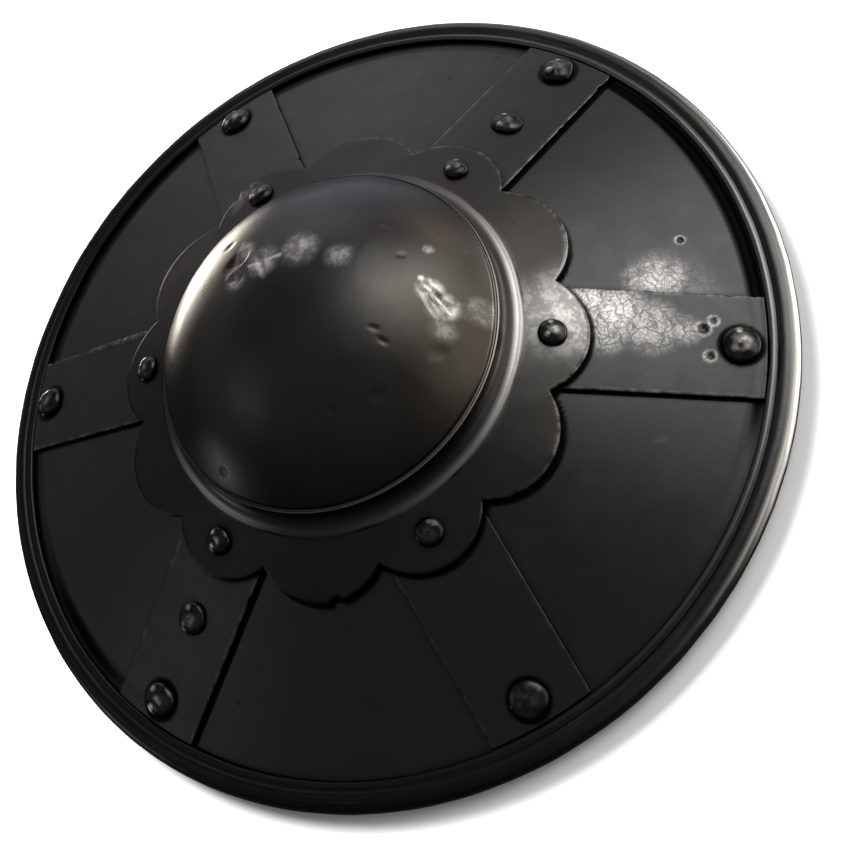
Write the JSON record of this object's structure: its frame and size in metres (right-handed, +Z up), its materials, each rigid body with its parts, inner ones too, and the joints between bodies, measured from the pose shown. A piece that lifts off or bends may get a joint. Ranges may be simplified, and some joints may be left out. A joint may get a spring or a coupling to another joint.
{
  "type": "buckler",
  "caption": "Round steel buckler: a shallow cone with a hollow bound rim, radial riveted straps and a domed boss with a petal flange, gripped by a bar and handle across the back.",
  "frame": {"origin": "on the surface that the rim lies on, under the middle of the boss", "axes": "+Z up the axis of the boss, out of the shield's face; +Y along the grip, towards the strap with the upper grip rivet"},
  "size_m": [0.35, 0.35, 0.0909],
  "materials": {
    "sheet_steel": "oil-blackened sheet, semi-matt",
    "strap_steel": "oil-blackened, worn along its edges",
    "rim_steel": "blackened, rubbed bright on its crest",
    "boss_steel": "blackened and rubbed, dark grey to brown",
    "rivet_steel": "blackened, burnished on the crown",
    "bar_steel": "blackened bar",
    "handle_wood": "dark oiled ash"
  },
  "bodies": {
    "root": {"rim_binding": "rim_steel", "disc": "sheet_steel", "boss": "boss_steel", "strap_a": "strap_steel", "strap_b": "strap_steel", "strap_c": "strap_steel", "strap_d": "strap_steel", "strap_e": "strap_steel", "strap_f": "strap_steel", "rivet_petal_a": "rivet_steel", "rivet_petal_b": "rivet_steel", "rivet_petal_c": "rivet_steel", "rivet_petal_d": "rivet_steel", "rivet_petal_e": "rivet_steel", "rivet_petal_f": "rivet_steel", "rivet_rim_a": "rivet_steel", "rivet_rim_b": "rivet_steel", "rivet_rim_c": "rivet_steel", "rivet_rim_d": "rivet_steel", "rivet_rim_e": "rivet_steel", "rivet_rim_f": "rivet_steel", "rivet_grip_b": "rivet_steel", "rivet_grip_e": "rivet_steel", "grip_bar": "bar_steel", "grip_handle": "handle_wood"}
  },
  "joints": []
}
